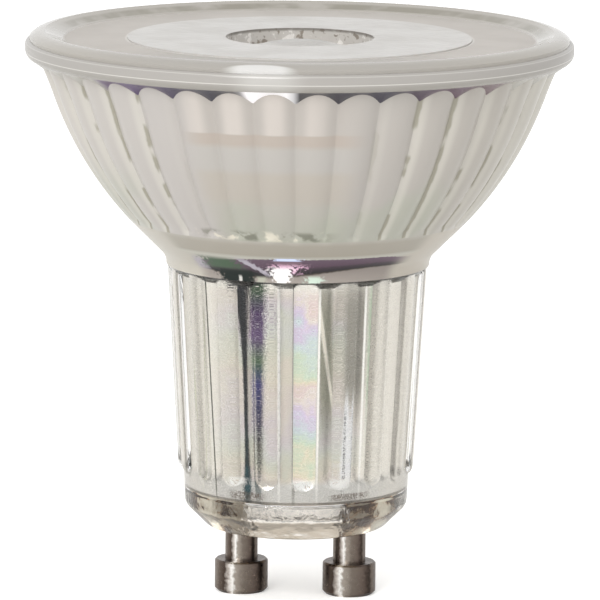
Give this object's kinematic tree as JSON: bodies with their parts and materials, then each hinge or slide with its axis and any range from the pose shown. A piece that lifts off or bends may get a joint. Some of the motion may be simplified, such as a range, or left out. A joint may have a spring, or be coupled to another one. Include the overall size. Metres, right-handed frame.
{
  "type": "gu10 spotlight bulb",
  "caption": "Reflector spotlight bulb with a fluted pressed-glass body, a ridged front lens and a twist-lock base of stepped pins.",
  "frame": {"origin": "on the lamp axis, level with the bottom of the pin heads", "axes": "+Z along the lamp axis from the base to the front lens, the two pins on the X axis"},
  "size_m": [0.05, 0.05, 0.0522],
  "materials": {
    "glass_body": "pressed glass, pearly silvered coat on the inside",
    "front_lens": "translucent moulding with a frosted optic zone",
    "seal_ring": "clear silicone adhesive",
    "heat_spreader": "pressed sheet, satin",
    "thermal_pad": "grey gap filler",
    "led_board": "white solder mask on aluminium",
    "led_package": "white ceramic",
    "led_phosphor": "yellow phosphor in silicone",
    "insulating_disc": "white moulded disc",
    "driver_board": "green laminate",
    "bulk_capacitor": "dark sleeve, bare can top",
    "film_capacitor": "yellow case",
    "choke_core": "dark ferrite",
    "choke_winding": "enamelled copper wire",
    "fusible_resistor": "pale blue coat, plain bands",
    "black_package": "black moulding, tinned legs",
    "sense_resistors": "black face, tinned ends",
    "contact_pin": "nickel plated, satin",
    "ferrule": "bronze coloured eyelet",
    "lead": "tinned copper wire"
  },
  "bodies": {
    "root": {"glass_body": "glass_body", "front_lens": "front_lens", "seal_ring": "seal_ring", "heat_spreader": "heat_spreader", "thermal_pad": "thermal_pad", "led_board": "led_board", "led_package": "led_package", "led_phosphor": "led_phosphor", "insulating_disc": "insulating_disc", "driver_board": "driver_board", "bulk_capacitor": "bulk_capacitor", "film_capacitor": "film_capacitor", "choke_core": "choke_core", "choke_winding": "choke_winding", "fusible_resistor": "fusible_resistor", "bridge_rectifier": "black_package", "driver_chip": "black_package", "sense_resistors": "sense_resistors", "contact_pin_left": "contact_pin", "contact_pin_right": "contact_pin", "ferrule_left": "ferrule", "ferrule_right": "ferrule", "input_lead_left": "lead", "input_lead_right": "lead", "output_lead_left": "lead", "output_lead_right": "lead"}
  },
  "joints": []
}
